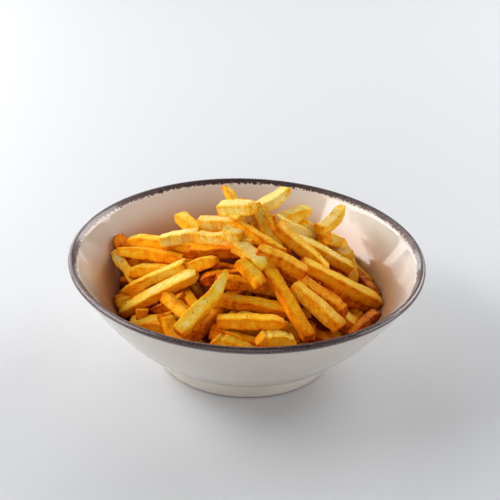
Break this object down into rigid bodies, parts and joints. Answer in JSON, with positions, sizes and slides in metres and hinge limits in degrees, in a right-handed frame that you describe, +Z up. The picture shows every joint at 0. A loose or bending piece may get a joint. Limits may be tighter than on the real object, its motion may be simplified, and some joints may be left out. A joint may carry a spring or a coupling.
{
  "type": "bowl of french fries",
  "caption": "Seasoned thin-cut fries heaped in a wide flared stoneware bowl with a dark brown rim band and a low foot ring, set down as served.",
  "frame": {"origin": "middle of the bowl's footprint, on the surface it stands on", "axes": "+Z up along the bowl's turning axis; the diner sits at -Y; +X to the diner's right"},
  "size_m": [0.215, 0.215, 0.1],
  "materials": {
    "stoneware_glaze": "glossy warm grey-beige glaze, with a ragged dark brown iron band round the lip",
    "fried_potato": null
  },
  "bodies": {
    "root": {"bowl": "stoneware_glaze", "fries_heap": "fried_potato"}
  },
  "joints": []
}
